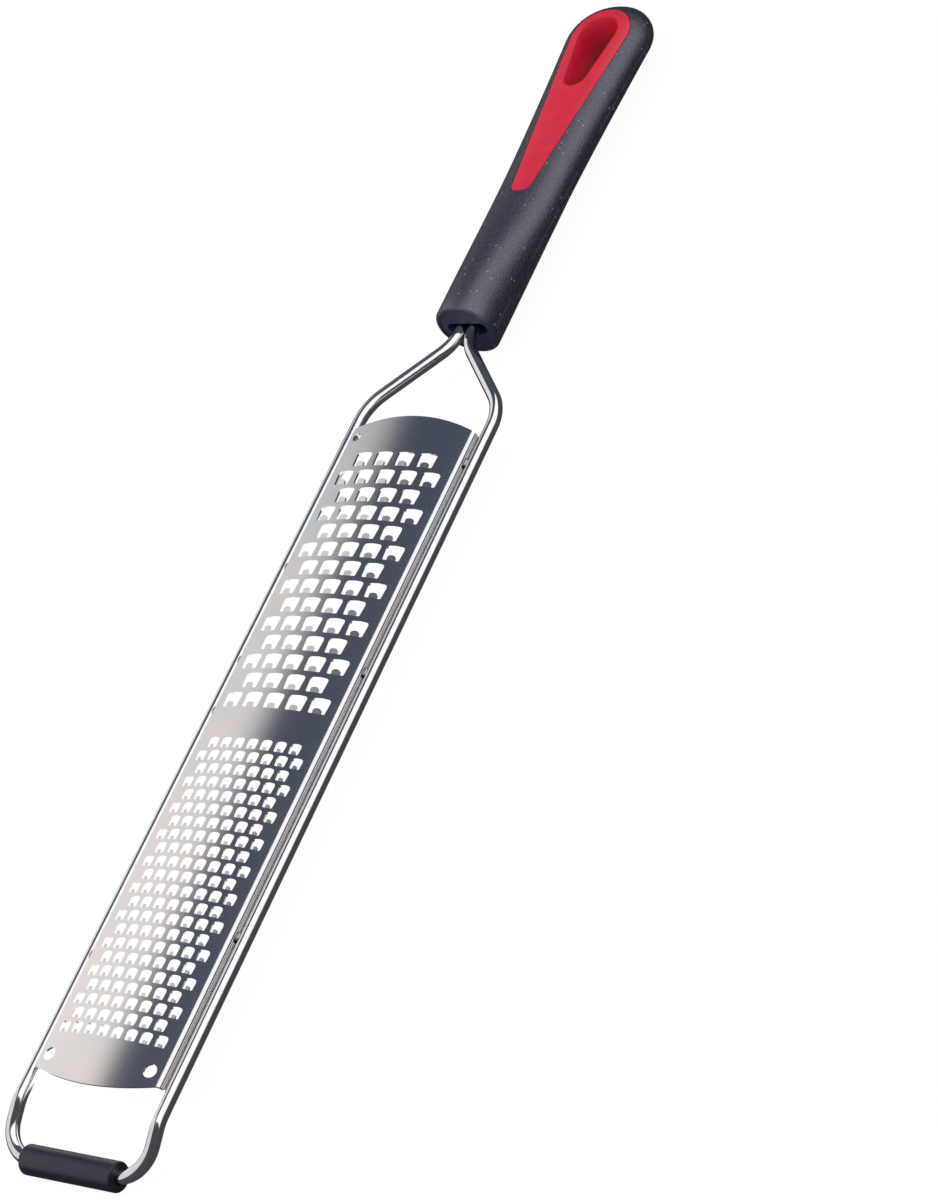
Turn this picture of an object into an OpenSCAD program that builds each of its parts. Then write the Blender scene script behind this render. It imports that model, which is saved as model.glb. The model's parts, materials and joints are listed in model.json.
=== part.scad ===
// Hand-held rasp grater: a bent rod frame, an arched toothed sheet welded between its sides,
// a soft handle with a red hanging insert, and a rubber sleeve on the foot.
// Millimetres. +Y runs to the handle's tip, +Z is up, and the grater lies on its handle and foot.

/* [Blade] */
// Length of the sheet on its centre line
blade_len = 215.8; // [170:1:270]
// Width of the sheet across the outer faces of its side flanges
blade_w = 43.6; // [36:0.2:56]
// Thickness of the sheet
sheet_t = 0.6; // [0.4:0.1:0.8]
// Radius of the sheet's arch, seen along the grater
arch_r = 110; // [80:5:200]
// Outer radius of the fold between the arch and a flange
fold_r = 2.3; // [1.6:0.1:2.5]
// Height of the arch's crown above a flange's lower edge
flange_h = 6.7; // [6:0.1:8]
// How far a corner of the sheet lies behind the middle of its rounded end
end_bow = 3.75; // [2:0.25:5]
// Slope of a flange's end towards the middle of the sheet
flange_slope = 15; // [0:1:25]

/* [Coarse teeth] */
// Rows of coarse teeth, the first one being a short row
coarse_rows = 14; // [8:1:14]
// Teeth in a short coarse row, a long row having one more
coarse_n = 4; // [3:1:4]
// Spacing of coarse teeth across the sheet
coarse_px = 7.57; // [7:0.01:8]
// Spacing of coarse rows along the sheet
coarse_py = 6.36; // [6.2:0.01:7]
// Distance from the sheet's end to the first coarse row
coarse_start = 15.3; // [14:0.1:18]
// Width of a coarse opening at its handle side
coarse_w = 5.8; // [5:0.1:6.2]
// Length of a coarse opening
coarse_l = 4.9; // [4.4:0.1:5.2]
// Width of a coarse tooth
coarse_tw = 2.6; // [2.2:0.1:3.2]
// Length of a coarse tooth
coarse_tl = 1.6; // [1.2:0.1:2]

/* [Fine teeth] */
// Rows of fine teeth, the first one being a short row
fine_rows = 22; // [10:1:22]
// Teeth in a short fine row, a long row having one more
fine_n = 7; // [5:1:7]
// Spacing of fine teeth across the sheet
fine_px = 4.72; // [4.4:0.01:4.9]
// Spacing of fine rows along the sheet
fine_py = 4.215; // [4.1:0.005:4.6]
// Distance between the last coarse row and the first fine row
field_gap = 14.1; // [10:0.1:18]
// Width of a fine opening at its handle side
fine_w = 3.4; // [3:0.1:3.7]
// Length of a fine opening
fine_l = 3.3; // [2.8:0.1:3.5]
// Width of a fine tooth
fine_tw = 1.2; // [1:0.1:1.6]
// Length of a fine tooth
fine_tl = 1; // [0.8:0.1:1.3]
// Angle at which every tooth stands up from the sheet
tooth_lift = 11; // [4:1:20]
// Rounding of every opening's corners
corner_r = 0.75; // [0.5:0.05:0.9]

/* [Corner holes] */
// Diameter of the hole beside the handle
top_hole_d = 2.8; // [2:0.1:4]
// Diameter of the two holes beside the foot
foot_hole_d = 3.8; // [3:0.1:4.4]
// Distance from the hole beside the handle to the outer face of its flange
top_hole_in = 3.7; // [3.4:0.1:4.6]
// Distance from a hole beside the foot to the outer face of its flange
foot_hole_in = 4.6; // [3.8:0.1:5]
// Distance from a hole's centre back from its corner of the sheet
hole_back = 3.2; // [2.8:0.1:5]

/* [Rod] */
// Diameter of the frame's rod
rod_d = 3.8; // [3:0.1:4.6]
// Height of the sheet's crown above the surface that the grater lies on
crown_z = 14; // [13.4:0.2:16]
// Height of the side rods' axes below the crown of the sheet
rod_drop = 5.3; // [4.5:0.1:6]
// Bend radius of a shoulder, on the rod's axis
shoulder_r = 15.5; // [8:0.5:18]
// Bend radius of the neck, on the rod's axis
neck_r = 12.6; // [6:0.5:15]
// Angle of an arm to the grater's length
arm_angle = 43.3; // [35:0.5:55]
// Gap between the two rods inside the handle
rod_gap = 0.5; // [0.2:0.1:2]
// Length of rod held in the handle
tail_len = 42; // [20:1:44]
// Straight side rod between the sheet and the bend of the foot
foot_spare = 1.8; // [0.5:0.1:6]
// Straight side rod between the sheet and the neck
neck_spare = 0.2; // [0:0.1:6]
// Radius of the slight rise from the side rods to the neck
rise_r = 20; // [10:5:60]

/* [Foot] */
// Angle at which the foot turns down
foot_angle = 18; // [12:1:21]
// Bend radius where the foot turns down, on the rod's axis
foot_bend_r = 16; // [8:1:20]
// Radius of the foot's two corners, on the rod's axis
foot_corner_r = 9; // [7:0.5:10]
// Diameter of the rubber sleeve
sleeve_d = 8; // [7:0.1:9]
// Length of the rubber sleeve
sleeve_len = 31.4; // [20:0.2:32.6]
// Clearance between the sleeve's bore and the rod
sleeve_fit = 0.1; // [0.1:0.01:0.3]
// Rounding of the sleeve's ends
sleeve_round = 0.7; // [0.2:0.1:1.5]

/* [Handle] */
// Length of the handle
handle_len = 127; // [122:0.5:150]
// Diameter of the handle at its round front
front_d = 20; // [18:0.2:22]
// Width of the handle at the middle of its length
waist_w = 23.4; // [22:0.2:26]
// Greatest width of the handle, round the hanging hole
end_w = 30; // [28:0.5:34]
// Thickness of the handle over its flat rear half
end_t = 13.8; // [13:0.1:17]
// Rounding of the handle's rear edge
end_round = 11.2; // [6:0.1:12]
// Wall of the grip round the core, at the front
grip_wall = 1.2; // [0.8:0.1:1.6]
// Depth of the core's face inside the grip's front rim
core_inset = 0.3; // [0:0.1:1]
// Width of the slot in the core's face
slot_w = 13.6; // [11:0.2:14]
// Height of the slot in the core's face
slot_h = 4.8; // [4.4:0.1:6]
// Depth of the slot in the core's face
slot_depth = 6; // [3:0.5:10]
// Clearance between pieces that are moulded or pressed together
fit = 0.05; // [0.03:0.01:0.15]

/* [Hanging insert] */
// Radius of the insert's round end
insert_r = 10.4; // [9.5:0.1:11]
// Distance from the handle's tip to the insert's round end
insert_in = 5; // [4.5:0.1:8]
// Length of the insert
insert_len = 74.5; // [60:0.5:80]
// Half width of the insert's narrow end
tail_half = 3.4; // [3:0.1:4]
// Rounding of the insert's narrow end
tail_r = 2.4; // [1:0.1:3]
// Depth of the insert's narrow part below each face of the handle
inlay_depth = 2.4; // [1.6:0.1:3]
// Groove between the insert and the grip
groove = 0.2; // [0.1:0.05:0.3]
// Radius of the hanging hole's wide end, at its rim
hole_r = 7.2; // [6:0.1:7.6]
// Radius of the hanging hole's narrow end, at its rim
hole_tail_r = 4.2; // [3:0.1:4.5]
// Distance between the centres of the hanging hole's ends
hole_span = 18; // [12:0.1:20]
// Taper of the hole's wall from its rim to its middle
hole_taper = 1.3; // [0.4:0.1:1.6]
// Width and depth of the soft lip round the hole's rim
hole_lip = 0.8; // [0.3:0.1:1]

/* [Hidden] */
$fn = 48;

// Heights above the surface that the grater lies on
rod_r = rod_d / 2;
handle_z = front_d / 2;
foot_z = sleeve_d / 2;
rod_z = crown_z - rod_drop;

// Places across the grater
flange_x = blade_w / 2;
rod_x = flange_x + rod_r;
tail_x = (rod_d + rod_gap) / 2;
tail_u = rod_x - tail_x;
rod_sides = 24;

// The foot, from the bend in the side rods to the crossbar
foot_fall = rod_z - foot_z;
foot_run_down = (foot_fall - foot_bend_r * (1 - cos(foot_angle))) / sin(foot_angle);
foot_reach = foot_bend_r * sin(foot_angle) + foot_run_down * cos(foot_angle);

// The neck, from the shoulders to the handle
arm_len = (rod_x - tail_x - (shoulder_r + neck_r) * (1 - cos(arm_angle))) / sin(arm_angle);
neck_reach = (shoulder_r + neck_r) * sin(arm_angle) + arm_len * cos(arm_angle);
rise_h = handle_z - rod_z;
rise_angle = atan(rise_r / neck_reach) + asin((rise_h - rise_r) / norm([neck_reach, rise_r]));
rise_y = rise_r * sin(rise_angle);
rise_z = rise_r * (1 - cos(rise_angle));
neck_run = rise_y + neck_reach * cos(rise_angle);

// Places along the grater, with y = 0 at the middle of its whole length
side_len = blade_len + foot_spare + neck_spare;
overall_len = sleeve_d / 2 + foot_reach + side_len + neck_run + handle_len;
foot_y = sleeve_d / 2 - overall_len / 2;
bend_y = foot_y + foot_reach;
blade_y0 = bend_y + foot_spare;
blade_y1 = blade_y0 + blade_len;
shoulder_y = bend_y + side_len;
front_y = shoulder_y + neck_run;
tip_y = front_y + handle_len;

// The arched sheet's section and rounded ends
end_r = (flange_x * flange_x + end_bow * end_bow) / (2 * end_bow);
fold_x = flange_x - fold_r;
fold_z = sqrt(pow(arch_r - fold_r, 2) - fold_x * fold_x) - arch_r;
fold_turn = asin(fold_x / (arch_r - fold_r));
coarse_y = blade_y1 - coarse_start;
fine_y = coarse_y - (coarse_rows - 1) * coarse_py - field_gap;
tooth_root = 0.4;
arch_flats = 14;
tooth_t = sheet_t - 0.1;

// The handle's loft: rings of points, close together where it turns in at its tip
ring_points = 48;
waist_power = 0.15;
swell_power = 1.35;
edge_break = 0.5;
turn_len = 14;
turn_y = tip_y - turn_len;
waist_y = front_y + 53;
thin_y = front_y + 6;
full_y = tip_y - turn_len;
body_rings = 24;
tip_rings = 12;
front_rings = [[0, edge_break], [0.3 * edge_break, 0.3 * edge_break], [edge_break, 0]];

// The core in the handle's front
core_len = tail_len + 3.5;
core_y = front_y + core_inset;
core_front_r = front_d / 2 - grip_wall;
core_tail_r = end_t / 2 - 1.5;

// The insert's outline and the hanging hole
insert_y = tip_y - insert_in - insert_r;
insert_tail_x = tail_half - tail_r;
insert_tail_y = tip_y - insert_in - insert_len + tail_r;
hole_tail_y = insert_y - hole_span;
web_half = end_t / 2 - inlay_depth;
web_y = hole_tail_y - hole_tail_r - 3;
reach = 40;

function smooth(t) = let (c = min(max(t, 0), 1)) c * c * (3 - 2 * c);
function arc(c, r, a0, a1, n) = [for (i = [0:n]) let (a = a0 + (a1 - a0) * i / n)
    [c[0] + r * cos(a), c[1] + r * sin(a)]];

// Places on the rod's axis, each with its direction and the normal of its bend's plane.
// A bend is sampled every few degrees, and a straight has nothing between its ends.
function steps(from, to, n) = [for (i = [0:n]) from + (to - from) * i / n];
function neck_at(u, v, turn) = [
    [u - rod_x, shoulder_y + rise_y + v * cos(rise_angle), rod_z + rise_z + v * sin(rise_angle)],
    [sin(turn), cos(turn) * cos(rise_angle), cos(turn) * sin(rise_angle)],
    [0, -sin(rise_angle), cos(rise_angle)]];
function side_at(y, r, turn, up) = [
    [-rod_x, y + up * r * sin(turn), rod_z + up * r * (1 - cos(turn))],
    [0, cos(turn), sin(turn)],
    [0, -sin(turn), cos(turn)]];
function foot_at(u, v, turn) = [
    [u - rod_x, bend_y - foot_bend_r * sin(foot_angle) - v * cos(foot_angle),
        rod_z - foot_bend_r * (1 - cos(foot_angle)) - v * sin(foot_angle)],
    [-sin(turn), cos(turn) * cos(foot_angle), cos(turn) * sin(foot_angle)],
    [0, -sin(foot_angle), cos(foot_angle)]];

// One half of the rod: tail, neck bend, arm, shoulder, side, foot bend, corner, crossbar
half_path = concat(
    [neck_at(tail_u, neck_reach + tail_len, 0)],
    [for (t = steps(0, arm_angle, 8))
        neck_at(tail_u - neck_r * (1 - cos(t)), neck_reach - neck_r * sin(t), t)],
    [for (t = steps(arm_angle, 0, 8)) neck_at(shoulder_r * (1 - cos(t)), shoulder_r * sin(t), t)],
    [side_at(shoulder_y, rise_r, 0, 1)],
    [for (t = steps(0, foot_angle, 5)) side_at(bend_y, foot_bend_r, t, -1)],
    [for (t = steps(0, 90, 12))
        foot_at(foot_corner_r * (1 - cos(t)), foot_run_down - foot_corner_r * (1 - sin(t)), t)]);

function rod_ring(at, r) = [for (i = [0:rod_sides - 1]) let (a = 360 * i / rod_sides)
    at[0] + r * (cos(a) * cross(at[2], at[1]) + sin(a) * at[2])];

// Joins rings of equal count into a closed skin, from the first ring to the last
module skin(rings) {
    n = len(rings[0]);
    last = len(rings) - 1;
    sides = [for (j = [0:last - 1]) for (i = [0:n - 1])
        let (k = (i + 1) % n, a = j * n, b = a + n) each [[a + i, a + k, b + k], [a + i, b + k, b + i]]];
    caps = [[for (i = [n - 1:-1:0]) i], [for (i = [0:n - 1]) last * n + i]];
    polyhedron([for (r = rings) each r], concat(sides, caps), convexity = 6);
}

// One rod bent all the way round: handle, arm, side, foot, side, arm, handle
module frame_wire() {
    left = [for (at = half_path) rod_ring(at, rod_r)];
    right = [for (j = [len(left) - 1:-1:0]) [for (p = left[j]) [-p[0], p[1], p[2]]]];
    color("silver") skin(concat(left, right));
}

// The bore that the core has round one tail of the rod
module tail_bore() {
    translate([-tail_x, shoulder_y + rise_y, rod_z + rise_z]) rotate([rise_angle, 0, 0])
        translate([0, neck_reach, 0]) rotate([-90, 0, 0]) cylinder(h = tail_len + fit, r = rod_r + fit);
}

// The sheet's section from its crown to a flange's edge, outside or a gauge inside it.
// The arch and the fold are drawn in short flats, as narrow as the strips between the teeth.
function half_section(inset) = concat(
    [for (a = steps(0, fold_turn, arch_flats / 2))
        [(arch_r - inset) * sin(a), (arch_r - inset) * cos(a) - arch_r]],
    [for (a = steps(fold_turn + 13, 90, 5))
        [fold_x + (fold_r - inset) * sin(a), fold_z + (fold_r - inset) * cos(a)]],
    [[flange_x - inset, -flange_h]]);
function whole_section(half) = concat(
    [for (i = [len(half) - 1:-1:1]) [-half[i][0], half[i][1]]], half);

module bent_sheet() {
    outer = whole_section(half_section(0));
    inner = whole_section(half_section(sheet_t));
    translate([0, blade_y1, crown_z]) rotate([90, 0, 0]) linear_extrude(blade_len)
        polygon(concat(outer, [for (i = [len(inner) - 1:-1:0]) inner[i]]));
}

// What the rounded end of the blank leaves off at the handle's end of the bent sheet
module end_waste() {
    depth = 2 * end_bow;
    difference() {
        translate([0, blade_y1, crown_z]) cube([blade_w + 2, depth, 4 * flange_h], center = true);
        translate([0, blade_y1 - end_r, 0]) cylinder(h = 2 * crown_z, r = end_r);
    }
    slant = tan(flange_slope);
    corner_y = blade_y1 - end_bow;
    translate([-blade_w, 0, 0]) rotate([90, 0, 90]) linear_extrude(2 * blade_w)
        polygon([[corner_y, crown_z + fold_z], [corner_y + depth, crown_z + fold_z],
            [corner_y + depth, 0], [corner_y - slant * (crown_z + fold_z), 0]]);
}

// Places its children square to the arch, s along the arc from the centre line
module on_arch(s, y) {
    translate([0, y, crown_z - arch_r]) rotate([0, s / arch_r * 180 / PI, 0])
        translate([0, 0, arch_r]) children();
}

// Repeats its children over a field of staggered rows, from row_y towards the foot
module tooth_field(rows, n, px, py, row_y) {
    for (row = [0:rows - 1]) {
        count = n + row % 2;
        for (i = [0:count - 1]) on_arch((i - (count - 1) / 2) * px, row_y - row * py) children();
    }
}

// One opening: its handle side is arched with broken corners, and its sides close a little
module opening(w, l) {
    half = w / 2;
    foot_half_w = 0.455 * w;
    shoulder = l / 2 - 0.03 * w;
    c = 0.3 * corner_r;
    linear_extrude(4, center = true) polygon([
        [half, shoulder - 3.8 * c], [half - c, shoulder - 1.2 * c], [half - 3.3 * c, shoulder], [0, l / 2],
        [3.3 * c - half, shoulder], [c - half, shoulder - 1.2 * c], [-half, shoulder - 3.8 * c],
        [-foot_half_w, c - l / 2], [c - foot_half_w, -l / 2],
        [foot_half_w - c, -l / 2], [foot_half_w, c - l / 2]]);
}

// One cutting tooth: a tongue with a rounded tip that stands up from the opening's foot side
module tooth(w, l, opening_l) {
    half = w / 2;
    tip_r = 0.9 * w;
    tip_turn = asin(0.8 * half / tip_r);
    translate([0, -opening_l / 2, -0.03]) rotate([tooth_lift, 0, 0]) translate([0, 0, -tooth_t])
        linear_extrude(tooth_t) polygon(concat(
            [[-half, -tooth_root], [half, -tooth_root]],
            [[half, l - 0.45 * half]],
            arc([0, l - tip_r], tip_r, 90 - tip_turn, 90 + tip_turn, 4),
            [[-half, l - 0.45 * half]]));
}

module corner_hole(d, x, y) {
    translate([x, y, crown_z]) cylinder(h = flange_h, d = d, center = true);
}

module blade() {
    color("lightslategray") {
        difference() {
            bent_sheet();
            end_waste();
            translate([0, blade_y0 + blade_y1, 0]) mirror([0, 1, 0]) end_waste();
            tooth_field(coarse_rows, coarse_n, coarse_px, coarse_py, coarse_y) opening(coarse_w, coarse_l);
            tooth_field(fine_rows, fine_n, fine_px, fine_py, fine_y) opening(fine_w, fine_l);
            corner_hole(top_hole_d, top_hole_in - flange_x, blade_y1 - end_bow - hole_back);
            for (s = [-1, 1])
                corner_hole(foot_hole_d, s * (flange_x - foot_hole_in), blade_y0 + end_bow + hole_back);
        }
        tooth_field(coarse_rows, coarse_n, coarse_px, coarse_py, coarse_y)
            tooth(coarse_tw, coarse_tl, coarse_l);
        tooth_field(fine_rows, fine_n, fine_px, fine_py, fine_y) tooth(fine_tw, fine_tl, fine_l);
    }
}

// The handle's half width and half thickness, and its ring of points, at a place along it
function turn_in(y, from, len) = y <= from ? 1 : sqrt(max(1 - pow((y - from) / len, 2), 0));
function half_w(y) = (front_d / 2
    + (waist_w - front_d) / 2 * smooth((y - front_y - 4) / (waist_y - front_y - 4))
    + (end_w - waist_w) / 2 * pow(min(max((y - waist_y) / (full_y - waist_y), 0), 1), swell_power))
    * turn_in(y, turn_y, turn_len);
function half_t(y) = (front_d / 2 + (end_t - front_d) / 2 * smooth((y - thin_y) / (waist_y - thin_y)))
    * turn_in(y, tip_y - end_round, end_round);
function ring_power(y) = 2 + waist_power * smooth((y - thin_y) / (waist_y - thin_y));
function bulge(v, power) = sign(v) * pow(abs(v), 2 / power);
function ring(y, less) = [for (i = [0:ring_points - 1]) let (a = 360 * i / ring_points, p = ring_power(y))
    [(half_w(y) - less) * bulge(cos(a), p), y, handle_z + (half_t(y) - less) * bulge(sin(a), p)]];

module handle_loft() {
    rings = concat(
        [for (f = front_rings) ring(front_y + f[0], f[1])],
        [for (i = [1:body_rings]) ring(front_y + edge_break + (turn_y - front_y - edge_break) * i / body_rings, 0)],
        [for (i = [1:tip_rings]) ring(turn_y + turn_len * sin(90 * i / (tip_rings + 0.4)), 0)]);
    skin(rings);
}

module core_body(spare) {
    translate([0, core_y - spare, handle_z]) rotate([-90, 0, 0])
        cylinder(h = core_len + 2 * spare, r1 = core_front_r + spare, r2 = core_tail_r + spare);
}

// A teardrop that stands through the handle, grown by g all round
module teardrop(g) {
    span = [-insert_tail_x, insert_y - insert_tail_y];
    lean = atan(insert_tail_x / span[1]) - asin((insert_r - tail_r) / norm(span));
    side = [cos(lean), sin(lean)];
    tail_p = [insert_tail_x, insert_tail_y] + (tail_r + g) * side;
    head_p = [0, insert_y] + (insert_r + g) * side;
    low_y = insert_tail_y - tail_r - g;
    translate([0, 0, handle_z]) linear_extrude(reach, center = true) {
        polygon([tail_p, head_p, [-head_p[0], head_p[1]], [-tail_p[0], tail_p[1]],
            [-insert_tail_x, low_y], [insert_tail_x, low_y]]);
        translate([0, insert_y]) circle(insert_r + g);
        for (s = [-1, 1]) translate([s * insert_tail_x, insert_tail_y]) circle(tail_r + g);
    }
}

// The web of the grip that fills the space between the insert's two inlays
module inlay_web(less) {
    translate([0, web_y - less - reach, handle_z]) cube([reach, 2 * reach, 2 * (web_half - less)], center = true);
}

// One half of the hanging hole, which narrows from the rim to the handle's middle
module hole_layer(z0, less0, z1, less1) {
    hull() {
        translate([0, insert_y, z0])
            cylinder(h = z1 - z0, r1 = hole_r - less0, r2 = hole_r - less1, $fn = 32);
        translate([0, hole_tail_y, z0])
            cylinder(h = z1 - z0, r1 = hole_tail_r - less0, r2 = hole_tail_r - less1, $fn = 32);
    }
}

module hanging_hole() {
    rim = end_t / 2;
    throat = 0.6 * hole_lip;
    translate([0, 0, handle_z]) for (s = [0, 1]) mirror([0, 0, s]) {
        hole_layer(0, hole_taper, rim - hole_lip, throat);
        hole_layer(rim - hole_lip, throat, rim + hole_lip, -throat);
    }
}

// What the grip and the core leave free for the insert
module inlay_pocket() {
    difference() {
        teardrop(groove);
        inlay_web(fit);
    }
}

module handle_grip() {
    color("#2b2b30") difference() {
        handle_loft();
        core_body(fit);
        translate([0, front_y - 1, handle_z]) rotate([-90, 0, 0]) cylinder(h = core_inset + 2, r = core_front_r);
        inlay_pocket();
    }
}

module handle_core() {
    color("#17171b") difference() {
        core_body(0);
        translate([0, core_y - 1, handle_z]) rotate([-90, 0, 0]) linear_extrude(slot_depth + 1) {
            square([slot_w - slot_h, slot_h], center = true);
            for (s = [-1, 1]) translate([s * (slot_w - slot_h) / 2, 0]) circle(slot_h / 2);
        }
        tail_bore();
        mirror([1, 0, 0]) tail_bore();
        inlay_pocket();
    }
}

module hang_insert() {
    color("#d02a40") difference() {
        intersection() {
            handle_loft();
            teardrop(0);
        }
        inlay_web(0);
        hanging_hole();
    }
}

module foot_sleeve() {
    half = sleeve_len / 2;
    color("#23242a") translate([0, foot_y, foot_z]) rotate([0, 90, 0]) rotate_extrude() difference() {
        union() {
            translate([0, -half + sleeve_round]) square([sleeve_d / 2, sleeve_len - 2 * sleeve_round]);
            translate([0, -half]) square([sleeve_d / 2 - sleeve_round, sleeve_len]);
            for (s = [-1, 1]) translate([sleeve_d / 2 - sleeve_round, s * (half - sleeve_round)])
                circle(sleeve_round);
        }
        translate([0, -half - 1]) square([rod_r + sleeve_fit, sleeve_len + 2]);
    }
}

frame_wire();
blade();
handle_grip();
handle_core();
hang_insert();
foot_sleeve();
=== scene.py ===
# %% [markdown]
# # A rasp grater with a toothed sheet, a bent rod frame and a soft handle
# The CAD model gives every size and place. This notebook loads it as a fixed frame, gives each piece a smoother
# stand-in where the photograph looks closely, and paints the finishes. Lengths in Blender are in metres. The
# grater's own sizes are written in millimetres and multiplied by MM, and the studio's are written in metres.

# %% Load the frame
import json
import math
import bmesh
import bpy
from mathutils import Matrix, Vector

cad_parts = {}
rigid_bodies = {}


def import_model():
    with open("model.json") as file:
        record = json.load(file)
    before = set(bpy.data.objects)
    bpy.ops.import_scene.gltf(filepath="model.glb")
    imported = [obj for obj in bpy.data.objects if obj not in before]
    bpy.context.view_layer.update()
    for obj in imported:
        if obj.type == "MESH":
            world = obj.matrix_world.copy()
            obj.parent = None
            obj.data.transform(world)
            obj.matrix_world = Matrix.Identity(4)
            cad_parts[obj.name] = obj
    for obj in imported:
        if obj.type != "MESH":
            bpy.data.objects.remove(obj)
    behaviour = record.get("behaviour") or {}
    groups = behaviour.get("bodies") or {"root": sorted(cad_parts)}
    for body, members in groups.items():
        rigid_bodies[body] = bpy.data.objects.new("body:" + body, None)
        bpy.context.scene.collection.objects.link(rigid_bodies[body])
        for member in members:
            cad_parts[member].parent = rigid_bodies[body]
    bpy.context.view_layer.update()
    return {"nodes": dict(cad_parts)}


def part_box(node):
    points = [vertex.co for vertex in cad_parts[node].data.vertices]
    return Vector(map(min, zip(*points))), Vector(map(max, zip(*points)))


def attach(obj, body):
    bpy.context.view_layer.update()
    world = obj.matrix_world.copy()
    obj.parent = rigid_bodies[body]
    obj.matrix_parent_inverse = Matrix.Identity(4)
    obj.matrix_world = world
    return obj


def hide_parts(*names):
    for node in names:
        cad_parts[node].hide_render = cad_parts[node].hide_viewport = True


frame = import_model()
scene = bpy.context.scene
MM = 0.001
print("nodes:", sorted(frame["nodes"]))

# %% [markdown]
# Nearly every piece is a copy of a CAD node, and so has its place. The boxes of the nodes place what else depends
# on them: the sheet's folds, the paper on the floor and the camera.

# %% Boxes of the nodes
box = {node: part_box(node) for node in frame["nodes"]}
for node, (low, high) in sorted(box.items()):
    print(node, [round(v / MM, 1) for v in (*low, *high)])

# %% [markdown]
# ## Merged copies
# The frame's nodes arrive as loose triangles, each with its own corners, and they are never changed. A copy with
# its corners merged can be shaded smoothly, bevelled and subdivided, so each piece starts as such a copy.


# %% Copy a node and merge it
SAME_PLACE = 0.002 * MM
FLAT_WITHIN, SQUARE_WITHIN = math.radians(25), math.radians(60)


def merged_copy(node, name, quads=False):
    """A new object with the node's mesh, its doubled corners merged and, if asked, its triangles joined."""
    source = frame["nodes"][node]
    bm = bmesh.new()
    bm.from_mesh(source.data)
    bmesh.ops.remove_doubles(bm, verts=bm.verts, dist=SAME_PLACE)
    if quads:
        bmesh.ops.join_triangles(
            bm, faces=bm.faces, angle_face_threshold=FLAT_WITHIN, angle_shape_threshold=SQUARE_WITHIN
        )
    bmesh.ops.recalc_face_normals(bm, faces=bm.faces)
    mesh = bpy.data.meshes.new(name)
    bm.to_mesh(mesh)
    bm.free()
    piece = bpy.data.objects.new(name, mesh)
    scene.collection.objects.link(piece)
    return piece


def shade_by_angle(piece, degrees):
    """Smooth shading that stays sharp at edges that turn more than the angle."""
    bm = bmesh.new()
    bm.from_mesh(piece.data)
    limit = math.radians(degrees)
    for face in bm.faces:
        face.smooth = True
    for edge in bm.edges:
        edge.smooth = len(edge.link_faces) == 2 and edge.calc_face_angle(0) < limit
    bm.to_mesh(piece.data)
    bm.free()


def take_place(piece, node):
    """The piece rides on the root body and stands for the node, which is hidden."""
    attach(piece, "root")
    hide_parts(node)
    print(piece.name, "has", len(piece.data.polygons), "faces")


# %% [markdown]
# ## The bent rod
# One polished rod is bent all the way round. The CAD sweep has 24 flat sides, and a mirror finish shows each of
# them, so the copy's triangles are joined to quads and one level of subdivision rounds it.

# %% Round the rod
ROD_CREASE = 60
rod = merged_copy("frame_wire", "bent_rod", quads=True)
shade_by_angle(rod, ROD_CREASE)
round_off = rod.modifiers.new("round_off", "SUBSURF")
round_off.levels = round_off.render_levels = 1
take_place(rod, "frame_wire")

# %% [markdown]
# ## The toothed sheet
# The sheet is a shallow arch, and its polish mirrors the studio across that arch in one smooth sweep. The CAD
# sheet is made of narrow flats, so each corner on the arch is given the true arc's normal, as a car body's
# shading is corrected, and every other corner keeps its own face's normal. The photograph's folds show one thin
# bright line, as a crease tighter than the modelled one does, so their normals make most of their turn at the middle.

# %% Shade the sheet as a true arch
CROWN_Z = 14 * MM
ARCH_RADIUS = 110 * MM
FOLD_RADIUS = 2.3 * MM
arch_axis_z = CROWN_Z - ARCH_RADIUS
fold_x = box["blade"][1].x - FOLD_RADIUS
fold_z = arch_axis_z + math.sqrt((ARCH_RADIUS - FOLD_RADIUS) ** 2 - fold_x**2)
fold_start_x = fold_x * ARCH_RADIUS / (ARCH_RADIUS - FOLD_RADIUS)

sheet = merged_copy("blade", "toothed_sheet")


def curve_axis(place):
    """The axis, as (x, z), that the sheet is curved round at a place: the arch's or one of the two folds'."""
    if abs(place.x) < fold_start_x:
        return 0.0, arch_axis_z
    return math.copysign(fold_x, place.x), fold_z


FOLD_TURN, FOLD_MIDDLE = 1.8, 0.45
ARCH_SLACK, FOLD_SLACK = math.radians(2.5), math.radians(9)


def sharpened(radial):
    """A fold's normal, with most of its turn moved to the middle, as on a crease tighter than the modelled one."""
    flat = math.pi / 2 - math.asin(fold_start_x / ARCH_RADIUS)
    share = math.atan2(radial.z, abs(radial.x)) / flat
    share = max(0.0, min(1.0, (share - FOLD_MIDDLE) * FOLD_TURN + FOLD_MIDDLE))
    return Vector((math.copysign(math.cos(share * flat), radial.x), 0, math.sin(share * flat)))


def sheet_normals(mesh):
    """A normal for every corner: the arc's own on the arch and the folds, and the face's own elsewhere."""
    normals = []
    curved_faces = 0
    for face in mesh.polygons:
        x, z = curve_axis(face.center)
        facing = face.normal.dot(Vector((face.center.x - x, 0, face.center.z - z)).normalized())
        slack = ARCH_SLACK if x == 0 else FOLD_SLACK
        curved = abs(facing) > math.cos(slack) and face.center.z > fold_z
        curved_faces += curved
        for corner in face.loop_indices:
            place = mesh.vertices[mesh.loops[corner].vertex_index].co
            radial = Vector((place.x - x, 0, place.z - z)).normalized()
            radial = sharpened(radial) if curved and x else radial
            normals.append(radial * math.copysign(1, facing) if curved else face.normal.copy())
    print(curved_faces, "faces follow the arch and its folds")
    return normals


for face in sheet.data.polygons:
    face.use_smooth = True
sheet.data.normals_split_custom_set(sheet_normals(sheet.data))
take_place(sheet, "blade")
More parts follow.
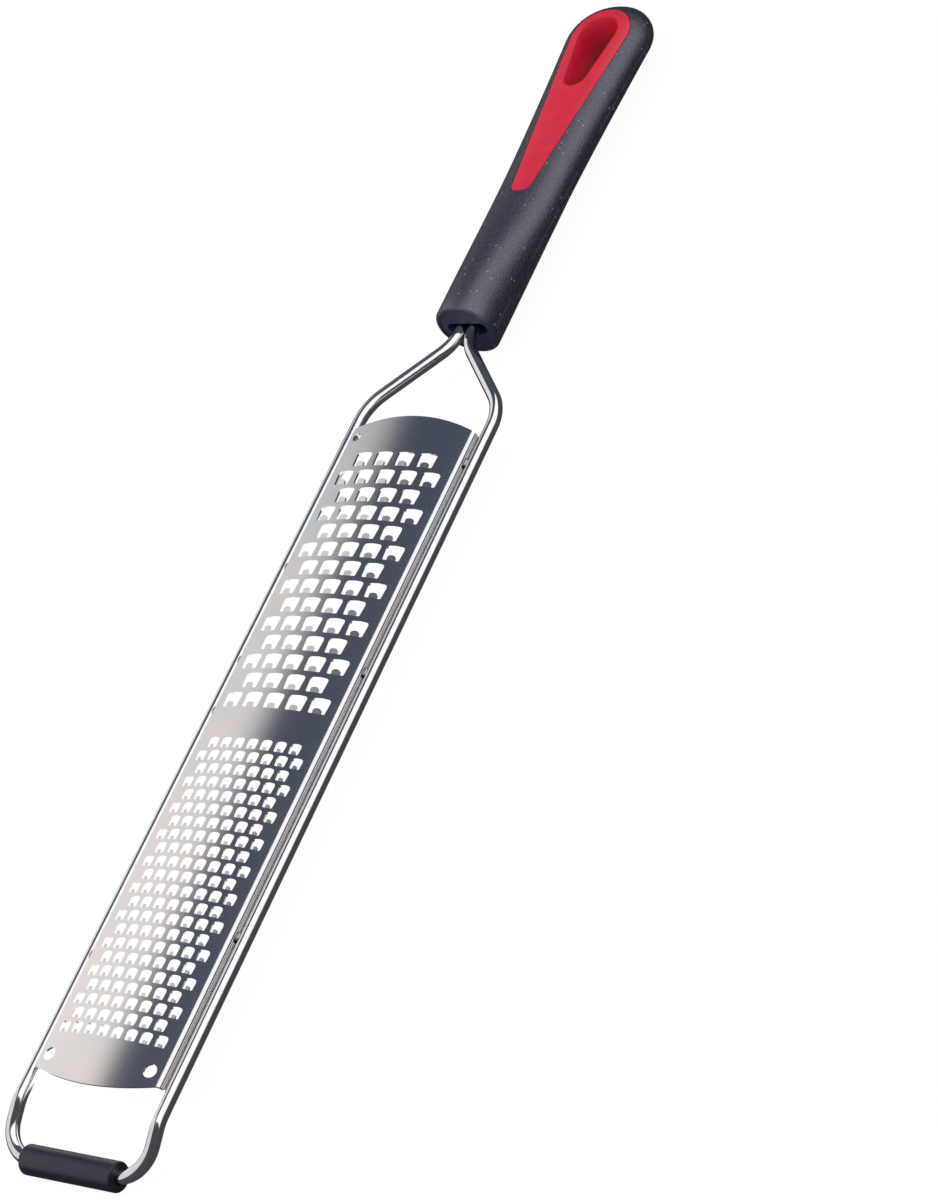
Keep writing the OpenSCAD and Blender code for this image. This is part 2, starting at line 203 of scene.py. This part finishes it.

# %% [markdown]
# The sheet is bright, but not evenly. The tops of the teeth look ground, lighter and duller than the rest. The inner
# side is duller, and its near white is a painted reflection of the white that shows through the openings. The
# flanges' outer sides are scuffed, and the cut walls of the openings and of the sheet's ends are as dull. Each kind
# of face takes a material slot of its own.

# %% Sort the sheet's faces
TOOTH_LIFT, TOOTH_SLACK = 11, 2
UPWARD, INWARD, SIDEWAYS, EDGE_ON = 0.9, 0.8, 0.97, 0.3
BRIGHT, GROUND, INNER, SCUFFED = range(4)


def face_kind(face):
    """The material slot of one face of the sheet."""
    x, z = curve_axis(face.center)
    lean = math.degrees(math.asin(max(-1, min(1, -face.normal.y))))
    outward = face.normal.dot(Vector((face.center.x - x, 0, face.center.z - z)).normalized())
    sideways = face.normal.x * math.copysign(1, face.center.x)
    on_flange = abs(face.center.x) > fold_x
    if face.normal.z > UPWARD and TOOTH_LIFT - TOOTH_SLACK < lean < TOOTH_LIFT + TOOTH_SLACK:
        return GROUND
    if abs(outward) < EDGE_ON and not on_flange:
        return SCUFFED
    # The inner side takes the near-white painted reflection.
    if outward < -INWARD or (on_flange and sideways < -INWARD):
        return INNER
    return SCUFFED if on_flange and sideways > SIDEWAYS else BRIGHT


for face in sheet.data.polygons:
    face.material_index = face_kind(face)
kinds = [face.material_index for face in sheet.data.polygons]
print([kinds.count(kind) for kind in range(4)], "faces are bright, ground, inner and scuffed")

# %% [markdown]
# ## The welds
# The flanges are tacked to the side rods with small beads, which show as lumps in the groove between the two. Each
# one is a squashed ball that lies along the groove.

# %% Weld beads
BEAD_R, BEAD_STRETCH = 0.75 * MM, 1.9
WELD_X, WELD_Z = 22.15 * MM, 10.0 * MM
weld_places = [(1, 25.2), (1, -46.0), (1, -129.0), (-1, -13.0), (-1, -45.0), (-1, -62.0), (-1, -140.0)]
bm = bmesh.new()
for side, y in weld_places:
    place = Matrix.Translation((side * WELD_X, y * MM, WELD_Z)) @ Matrix.Diagonal((1, BEAD_STRETCH, 1, 1))
    bmesh.ops.create_icosphere(bm, subdivisions=3, radius=BEAD_R, matrix=place)
for face in bm.faces:
    face.smooth = True
mesh = bpy.data.meshes.new("weld_beads")
bm.to_mesh(mesh)
bm.free()
beads = bpy.data.objects.new("weld_beads", mesh)
scene.collection.objects.link(beads)
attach(beads, "root")
print("weld_beads has", len(weld_places), "beads")

# %% [markdown]
# ## The handle, its plug, its insert and the foot's sleeve
# All four are mouldings. Their long surfaces are shaded smoothly and their rims stay crisp.

# %% Smooth the mouldings
MOULDING_CREASE = 32
for node_name, name, slot in (
    ("handle_grip", "soft_handle", "soft_grip"),
    ("handle_core", "front_plug", "hard_core"),
    ("hang_insert", "red_insert", "red_insert"),
    ("foot_sleeve", "rubber_foot", "foot_rubber"),
):
    piece = merged_copy(node_name, name)
    shade_by_angle(piece, MOULDING_CREASE)
    take_place(piece, node_name)
pieces = {o.name: o for o in scene.objects}

# %% [markdown]
# ## Shader groups
# Wear and grain that more than one finish shows are written once, as node groups with named inputs. They read
# Object coordinates, so they stay on the piece when the camera moves.


# %% Nodes and groups
def linear(red, green, blue):
    """A colour as a screen shows it, 0 to 255, as Blender's linear value."""
    parts = [v / 255 for v in (red, green, blue)]
    return tuple(((v + 0.055) / 1.055) ** 2.4 if v > 10 / 255 else v / 12.92 for v in parts) + (1,)


def node(tree, kind, inputs=None, **settings):
    """A node in a tree, with its settings, and each named input wired to a socket or set to a value."""
    made = tree.nodes.new(kind)
    for key, value in settings.items():
        setattr(made, key, value)
    for key, value in (inputs or {}).items():
        if isinstance(value, bpy.types.NodeSocket):
            tree.links.new(value, made.inputs[key])
        else:
            made.inputs[key].default_value = value
    return made


def new_group(name, inputs, outputs):
    """A node group with its named sockets: the tree, its input node and its output node."""
    tree = bpy.data.node_groups.new(name, "ShaderNodeTree")
    for title, kind, value in inputs:
        tree.interface.new_socket(title, in_out="INPUT", socket_type=kind).default_value = value
    for title, kind in outputs:
        tree.interface.new_socket(title, in_out="OUTPUT", socket_type=kind)
    return tree, tree.nodes.new("NodeGroupInput"), tree.nodes.new("NodeGroupOutput")


COLOUR, NUMBER, VECTOR = "NodeSocketColor", "NodeSocketFloat", "NodeSocketVector"
WHITE = (1, 1, 1, 1)

# %% Mottle: a colour that drifts between two tints
mottle, given, out = new_group(
    "mottle",
    [("Colour", COLOUR, WHITE), ("Low", COLOUR, WHITE), ("High", COLOUR, WHITE), ("Scale", NUMBER, 100)],
    [("Colour", COLOUR)],
)
place = node(mottle, "ShaderNodeTexCoord").outputs["Object"]
noise = node(mottle, "ShaderNodeTexNoise", {"Vector": place, "Scale": given.outputs["Scale"], "Detail": 3})
stretch = node(mottle, "ShaderNodeMapRange", {"Value": noise.outputs[0], "From Min": 0.3, "From Max": 0.7})
low_to_high = {0: stretch.outputs[0], 6: given.outputs["Low"], 7: given.outputs["High"]}
tint = node(mottle, "ShaderNodeMix", low_to_high, data_type="RGBA")
tinted = {0: given.outputs["Colour"], 1: tint.outputs[2]}
times = node(mottle, "ShaderNodeVectorMath", tinted, operation="MULTIPLY")
mottle.links.new(times.outputs[0], out.inputs["Colour"])

# %% Specks: small dots of dust
specks, given, out = new_group(
    "specks",
    [
        ("Colour", COLOUR, WHITE),
        ("Dust", COLOUR, WHITE),
        ("Scale", NUMBER, 900),
        ("Size", NUMBER, 0.2),
        ("Share", NUMBER, 0.05),
    ],
    [("Colour", COLOUR)],
)
place = node(specks, "ShaderNodeTexCoord").outputs["Object"]
cells = node(specks, "ShaderNodeTexVoronoi", {"Vector": place, "Scale": given.outputs["Scale"]})
reach = {0: cells.outputs["Distance"], 1: given.outputs["Size"]}
near = node(specks, "ShaderNodeMath", reach, operation="LESS_THAN")
draw = node(specks, "ShaderNodeSeparateColor", {0: cells.outputs["Color"]})
kept = node(specks, "ShaderNodeMath", {0: draw.outputs[0], 1: given.outputs["Share"]}, operation="LESS_THAN")
both = node(specks, "ShaderNodeMath", {0: near.outputs[0], 1: kept.outputs[0]}, operation="MULTIPLY")
clean_or_dust = {0: both.outputs[0], 6: given.outputs["Colour"], 7: given.outputs["Dust"]}
dusty = node(specks, "ShaderNodeMix", clean_or_dust, data_type="RGBA")
specks.links.new(dusty.outputs[2], out.inputs["Colour"])

# %% Grain: a fine unevenness of the surface, stretched along or across the grater
grain, given, out = new_group(
    "grain",
    [("Scale", VECTOR, (1000, 1000, 1000)), ("Height", NUMBER, 0.00001)],
    [("Normal", VECTOR), ("Value", NUMBER)],
)
place = node(grain, "ShaderNodeTexCoord").outputs["Object"]
scaled = node(grain, "ShaderNodeVectorMath", {0: place, 1: given.outputs["Scale"]}, operation="MULTIPLY")
noise = node(grain, "ShaderNodeTexNoise", {"Vector": scaled.outputs[0], "Scale": 1, "Detail": 2})
bump = node(grain, "ShaderNodeBump", {"Height": noise.outputs[0], "Distance": given.outputs["Height"]})
grain.links.new(bump.outputs[0], out.inputs["Normal"])
grain.links.new(noise.outputs[0], out.inputs["Value"])
print("groups:", [tree.name for tree in bpy.data.node_groups])

# %% [markdown]
# ## Finishes


# %% A finish with its drift of tint and its grain
def use(tree, group, **inputs):
    """A use of a node group, with its named inputs."""
    return node(tree, "ShaderNodeGroup", inputs, node_tree=group)


def finish(name, colour, metallic, roughness, tints=None, fine=None, **sockets):
    """A material with one Principled shader: tints are (low, high, scale) and fine is (scale, height)."""
    material = bpy.data.materials.new(name)
    material.use_nodes = True
    tree = material.node_tree
    shader = tree.nodes["Principled BSDF"]
    shader.inputs["Base Color"].default_value = colour
    shader.inputs["Metallic"].default_value = metallic
    shader.inputs["Roughness"].default_value = roughness
    for socket, value in sockets.items():
        shader.inputs[socket.replace("_", " ")].default_value = value
    if tints:
        drift = use(tree, mottle, Colour=colour, Low=(*tints[0], 1), High=(*tints[1], 1), Scale=tints[2])
        tree.links.new(drift.outputs[0], shader.inputs["Base Color"])
    if fine:
        unevenness = use(tree, grain, Scale=fine[0], Height=fine[1])
        tree.links.new(unevenness.outputs["Normal"], shader.inputs["Normal"])
    return material


def even(value):
    """The same value three times, for a tint without a hue or a scale without a direction."""
    return (value, value, value)


# %% [markdown]
# Steel is a metal with a little drift of tint and grain that runs along it. The sheet drifts between a warm and a
# cool tint. Ground, scuffed and welded steel is duller, and rubber and plastic aren't metals.

# %% The finishes of the pieces
WARM, COOL = (1.06, 1.0, 0.96), (0.92, 0.97, 0.99)
rod_finish = finish(
    "polished_rod", linear(222, 222, 224), metallic=1, roughness=0.09,
    tints=(even(0.92), even(1.04), 700), fine=((900, 300, 900), 0.000004),
)
sheet_finish = finish(
    "bright_sheet", linear(214, 214, 216), metallic=1, roughness=0.17,
    tints=(COOL, WARM, 60), fine=((1500, 30, 1500), 0.000003),
)
ground_finish = finish(
    "ground_teeth", linear(228, 228, 228), metallic=1, roughness=0.3, tints=(even(0.85), even(1.05), 700)
)
# A painted reflection: near white and mostly not metal, so that the inner side shows white through the openings.
inner_painted_reflection = finish("inner_sheet_painted_reflection", linear(250, 250, 250), metallic=0.3, roughness=0.4)
scuffed_finish = finish(
    "scuffed_flange", linear(236, 235, 232), metallic=0.25, roughness=0.45,
    tints=(even(0.75), even(1.08), 900), fine=((900, 150, 900), 0.000005),
)
weld_finish = finish(
    "weld", linear(170, 170, 172), metallic=1, roughness=0.3, tints=((0.6, 0.6, 0.62), even(1.1), 1500)
)
grip_finish = finish(
    "soft_touch", linear(32, 32, 45), metallic=0, roughness=0.33,
    tints=((0.3, 0.3, 0.34), (2.2, 2.2, 2.1), 1100), fine=(even(2300), 0.00018),
    IOR=1.7, Specular_IOR_Level=0.85, Specular_Tint=(0.9, 0.88, 1, 1),
)
plug_finish = finish(
    "hard_black", linear(48, 52, 74), metallic=0, roughness=0.5,
    tints=(even(0.8), even(1.3), 400), Specular_IOR_Level=0.35,
)
red_finish = finish(
    "satin_red", linear(214, 30, 62), metallic=0, roughness=0.34,
    tints=((0.9, 0.86, 0.88), (1.06, 1.08, 1.08), 220), fine=(even(1800), 0.00002),
)
foot_finish = finish(
    "matte_rubber", linear(23, 24, 37), metallic=0, roughness=0.42,
    tints=(even(0.85), even(1.2), 260), fine=(even(1500), 0.00004),
    Specular_IOR_Level=0.6, Specular_Tint=(0.9, 0.9, 1, 1),
)
print(len(bpy.data.materials), "materials")

# %% [markdown]
# A faint, broken line runs along the grip at mid height, where a moulding's seam is. Its pale colour is a painted
# highlight of the raised seam catching the light. The specks of dust that soft-touch rubber collects are paler than
# the rubber too.

# %% Dust and the painted highlight of the seam on the grip
SEAM_Z, SEAM_HALF = 10 * MM, 0.11 * MM
SEAM_BREAKS, SEAM_GAPS = (0, 60, 0), 0.47
tree = grip_finish.node_tree
shader = tree.nodes["Principled BSDF"]
drifted = shader.inputs["Base Color"].links[0].from_socket
dusted = use(tree, specks, Colour=drifted, Dust=linear(120, 122, 130), Scale=620, Size=0.2, Share=0.14)
place = node(tree, "ShaderNodeTexCoord").outputs["Object"]
height = node(tree, "ShaderNodeSeparateXYZ", {0: place}).outputs["Z"]
on_seam = node(tree, "ShaderNodeMath", {0: height, 1: SEAM_Z, 2: SEAM_HALF}, operation="COMPARE")
broken = use(tree, grain, Scale=SEAM_BREAKS, Height=0.0)
stretches = node(tree, "ShaderNodeMath", {0: broken.outputs["Value"], 1: SEAM_GAPS}, operation="GREATER_THAN")
seam = node(tree, "ShaderNodeMath", {0: on_seam.outputs[0], 1: stretches.outputs[0]}, operation="MULTIPLY")
# The seam's pale colour is a painted highlight.
dust_or_seam_highlight = {0: seam.outputs[0], 6: dusted.outputs[0], 7: linear(88, 91, 102)}
dusted_and_seam_highlit = node(tree, "ShaderNodeMix", dust_or_seam_highlight, data_type="RGBA")
tree.links.new(dusted_and_seam_highlit.outputs[2], shader.inputs["Base Color"])
print("seam at", round(SEAM_Z / MM, 1), "mm")

# %% Give each piece its finishes
finishes = {
    "bent_rod": [rod_finish],
    "weld_beads": [weld_finish],
    "toothed_sheet": [sheet_finish, ground_finish, inner_painted_reflection, scuffed_finish],
    "soft_handle": [grip_finish],
    "front_plug": [plug_finish],
    "red_insert": [red_finish],
    "rubber_foot": [foot_finish],
}
for name, materials in finishes.items():
    pieces[name].data.materials.clear()
    for material in materials:
        pieces[name].data.materials.append(material)
print("finishes on", len(finishes), "pieces")

# %% [markdown]
# ## The studio
# Polished steel is only as good as what it mirrors. The photograph's sheet fades from a warm light grey at its
# left to a deep blue-grey at its right, and each rod carries one white streak between dark bands. So the world is
# written for mirrors. A warm panel stands at the left, cooler and half as bright towards the handle and dark past
# it, with a white wall beneath it. A smaller patch beside it lights the lifted teeth. The room is dark elsewhere,
# bluer at the left than at the right and a little lighter overhead. The photograph's own reflections were the guide
# to this room, which isn't the white backdrop that the camera sees. Rays that light dull surfaces meet an even pale
# grey.

# %% World helpers
world = bpy.data.worlds.new("studio")
scene.world = world
world.use_nodes = True
sky_tree = world.node_tree
sky_tree.nodes.clear()
sky = node(sky_tree, "ShaderNodeTexCoord").outputs["Generated"]
split = node(sky_tree, "ShaderNodeSeparateXYZ", {0: sky})
rays = node(sky_tree, "ShaderNodeLightPath")


def fade(tree, value, start, end):
    """0 before the start and 1 past the end, with a soft step between them."""
    step = {"Value": value, "From Min": start, "From Max": end}
    return node(tree, "ShaderNodeMapRange", step, interpolation_type="SMOOTHSTEP").outputs["Result"]


def toward(direction, start, width):
    """A soft-edged patch of sky around a direction: 0 outside it and 1 inside."""
    along = {0: sky, 1: Vector(direction).normalized()}
    dot = node(sky_tree, "ShaderNodeVectorMath", along, operation="DOT_PRODUCT")
    return fade(sky_tree, dot.outputs["Value"], start, start + width)


def mixed(tree, factor, first, second):
    """The first colour where the factor is 0 and the second where it is 1."""
    return node(tree, "ShaderNodeMix", {0: factor, 6: first, 7: second}, data_type="RGBA").outputs[2]


def grey(level):
    """A neutral light of a linear level, which may be brighter than white."""
    return (level, level, level, 1)


# %% The room that mirrors see
PANEL, PANEL_AT_HANDLE, WALL = (1.35, 1.22, 1.15, 1), (0.66, 0.7, 0.71, 1), grey(1.0)
BLUE_DARK, RIGHT_DARK, PAST_HANDLE, OVERHEAD = linear(74, 82, 100), linear(80, 80, 82), grey(0.1), grey(0.24)
TEETH_PATCH = grey(0.9)
to_handle = fade(sky_tree, split.outputs["Y"], 0.14, 0.61)
past_handle = fade(sky_tree, split.outputs["Y"], 0.5, 0.6)
below_panel = fade(sky_tree, split.outputs["Z"], 0.34, 0.22)
to_right = fade(sky_tree, split.outputs["X"], -0.15, 0.15)
left_panel = mixed(sky_tree, to_handle, PANEL, PANEL_AT_HANDLE)
left_room = mixed(sky_tree, below_panel, left_panel, WALL)
left_room = mixed(sky_tree, past_handle, left_room, PAST_HANDLE)
dark_room = mixed(sky_tree, to_right, BLUE_DARK, RIGHT_DARK)
room = mixed(sky_tree, toward((0.05, 0.2, 1), 0.92, 0.06), dark_room, OVERHEAD)
room = mixed(sky_tree, toward((-0.92, 0, 0.393), 0.8, 0.09), room, left_room)
room = mixed(sky_tree, toward((-0.75, -0.35, 0.56), 0.76, 0.1), room, TEETH_PATCH)

# %% What each kind of ray sees
EVEN_LIGHT, BACKDROP = grey(0.8), grey(1.0)
light = mixed(sky_tree, rays.outputs["Is Glossy Ray"], EVEN_LIGHT, room)
light = mixed(sky_tree, rays.outputs["Is Camera Ray"], light, BACKDROP)
background = node(sky_tree, "ShaderNodeBackground", {"Color": light})
node(sky_tree, "ShaderNodeOutputWorld", {"Surface": background.outputs[0]})
print("world has", len(sky_tree.nodes), "nodes")

# %% [markdown]
# The white streak along each rod is a long softbox close overhead, which starts just left of the grater and
# dims towards its far right. Only mirrors see it.


# %% The softbox
def stage_mesh(name, corners):
    """A flat piece of the studio, given by its corners."""
    mesh = bpy.data.meshes.new(name)
    bm = bmesh.new()
    bm.faces.new([bm.verts.new(corner) for corner in corners])
    bm.to_mesh(mesh)
    bm.free()
    made = bpy.data.objects.new(name, mesh)
    scene.collection.objects.link(made)
    return made


BOX_LEFT, BOX_RIGHT, BOX_FOOT, BOX_HEAD, BOX_Z = -0.03, 1.0, -0.19, 0.6, 0.3
BOX_DIMS_FROM, BOX_LIGHT, BOX_DIM = 0.4, grey(1.4), grey(0.15)
left_side = [(BOX_LEFT, BOX_FOOT, BOX_Z), (BOX_LEFT, BOX_HEAD, BOX_Z)]
right_side = [(BOX_RIGHT, BOX_HEAD, BOX_Z), (BOX_RIGHT, BOX_FOOT, BOX_Z)]
softbox = stage_mesh("softbox", left_side + right_side)
cloth = bpy.data.materials.new("softbox_cloth")
cloth.use_nodes = True
tree = cloth.node_tree
tree.nodes.clear()
where = node(tree, "ShaderNodeSeparateXYZ", {0: node(tree, "ShaderNodeTexCoord").outputs["Object"]})
dimmed = mixed(tree, fade(tree, where.outputs["X"], BOX_DIMS_FROM, BOX_RIGHT), BOX_LIGHT, BOX_DIM)
shine = node(tree, "ShaderNodeEmission", {"Color": dimmed})
node(tree, "ShaderNodeOutputMaterial", {"Surface": shine.outputs[0]})
softbox.data.materials.append(cloth)
softbox.visible_camera = softbox.visible_diffuse = False
softbox.visible_shadow = softbox.visible_transmission = False
print("softbox", round(BOX_RIGHT - BOX_LEFT, 2), "m wide at", BOX_Z, "m")

# %% [markdown]
# The floor is white to the camera and keeps a faint shadow. To mirrors it shows a painted light under the sheet and
# out to its left, a glow brighter than white that keeps no shadow, which the inside of the left flange shows through
# the openings, and dark paper past the sheet's ends and at its right, so that the rods keep a dark band down to their
# lower edge. Near the handle the glow ends short of the sheet, except at the sheet's left, so that the frame's arms
# stay dark beneath.

# %% Floor
FLOOR_HALF = 3.0
corners = [(x * FLOOR_HALF, y * FLOOR_HALF, 0) for x, y in ((-1, -1), (1, -1), (1, 1), (-1, 1))]
floor = stage_mesh("floor", corners)
paper = bpy.data.materials.new("white_floor_and_mirror_glow")
paper.use_nodes = True
tree = paper.node_tree
tree.nodes.clear()
rays = node(tree, "ShaderNodeLightPath")
where = node(tree, "ShaderNodeSeparateXYZ", {0: node(tree, "ShaderNodeTexCoord").outputs["Object"]})
print("floor", round(2 * FLOOR_HALF, 1), "m wide")

# %% What the floor shows to mirrors
# The white that mirrors see under the sheet is a painted light, a glow brighter than white with no shadow.
DARK_PAPER, MIRROR_GLOW = linear(76, 77, 80), grey(1.5)
EDGE, SHORT, STRIP_X, RIGHT_X = 0.004, 0.024, -0.011, 0.018
sheet_low, sheet_high = box["blade"]
short_end = sheet_high.y - SHORT
long_end = sheet_high.y
short_sheet = mixed(tree, fade(tree, where.outputs["Y"], short_end, short_end + EDGE), MIRROR_GLOW, DARK_PAPER)
long_strip = mixed(tree, fade(tree, where.outputs["Y"], long_end, long_end + EDGE), MIRROR_GLOW, DARK_PAPER)
mirrored = mixed(tree, fade(tree, where.outputs["X"], STRIP_X, STRIP_X - EDGE), short_sheet, long_strip)
mirrored = mixed(tree, fade(tree, where.outputs["Y"], sheet_low.y, sheet_low.y + EDGE), DARK_PAPER, mirrored)
mirrored = mixed(tree, fade(tree, where.outputs["X"], RIGHT_X, RIGHT_X + EDGE), mirrored, DARK_PAPER)
print("mirror glow ends at", round(short_end / MM, 1), "mm and its strip at", round(long_end / MM, 1), "mm")

# %% What each kind of ray sees of the floor
BOUNCE, GLOW, SHADOW_SHARE = grey(0.45), 1.12, 0.15
diffuse = node(tree, "ShaderNodeBsdfDiffuse", {"Color": BOUNCE})
glow = node(tree, "ShaderNodeEmission", {"Color": grey(1.0), "Strength": GLOW})
seen = node(tree, "ShaderNodeEmission", {"Color": mirrored})
blend = node(tree, "ShaderNodeMixShader", {0: SHADOW_SHARE, 1: glow.outputs[0], 2: diffuse.outputs[0]})
by_camera = {0: rays.outputs["Is Camera Ray"], 1: diffuse.outputs[0], 2: blend.outputs[0]}
to_camera = node(tree, "ShaderNodeMixShader", by_camera)
by_mirror = {0: rays.outputs["Is Glossy Ray"], 1: to_camera.outputs[0], 2: seen.outputs[0]}
to_mirror = node(tree, "ShaderNodeMixShader", by_mirror)
node(tree, "ShaderNodeOutputMaterial", {"Surface": to_mirror.outputs[0]})
floor.data.materials.append(paper)
print("paper has", len(tree.nodes), "nodes")

# %% [markdown]
# One soft lamp above the foot's left lights the rubber and the plastic. Mirrors don't see it.

# %% Lamp
KEY_PLACE, KEY_SIZE, KEY_WATTS = Vector((-0.5, -0.3, 1.2)), 0.8, 5.0
key_data = bpy.data.lights.new("key", "AREA")
key_data.size = KEY_SIZE
key_data.energy = KEY_WATTS
key = bpy.data.objects.new("key", key_data)
key.location = KEY_PLACE
key.rotation_mode = "QUATERNION"
key.rotation_quaternion = (-KEY_PLACE).to_track_quat("-Z", "Y")
key.visible_glossy = False
scene.collection.objects.link(key)
print("key lamp", round(KEY_PLACE.length, 2), "m away")

# %% [markdown]
# ## The camera
# The camera's place and direction were worked out from the photograph: the sheet's openings and corners, the
# shoulders and the handle's ends fall on or near their own pixels.

# %% Camera
LENS_PIXELS, IMAGE_HEIGHT, FILM_MM = 3258.7, 1200, 36
CAMERA_X, CAMERA_FROM_SHEET, CAMERA_Z = 0.557144, 0.240209, 0.589176
camera_data = bpy.data.cameras.new("camera")
camera_data.sensor_fit = "AUTO"
camera_data.sensor_width = FILM_MM
camera_data.lens = LENS_PIXELS * FILM_MM / IMAGE_HEIGHT
camera = bpy.data.objects.new("camera", camera_data)
right = Vector((0.80648453, 0.37757144, -0.45499727))
down = Vector((0.04386359, -0.8056316, -0.59079075))
forward = Vector((-0.58962589, 0.45650579, -0.66629106))
turn = Matrix((right, -down, -forward)).transposed()
camera_y = sheet_low.y - CAMERA_FROM_SHEET
camera.matrix_world = Matrix.Translation((CAMERA_X, camera_y, CAMERA_Z)) @ turn.to_4x4()
scene.collection.objects.link(camera)
scene.camera = camera
scene.view_settings.view_transform = "Standard"
print("lens", round(camera_data.lens, 2), "mm")
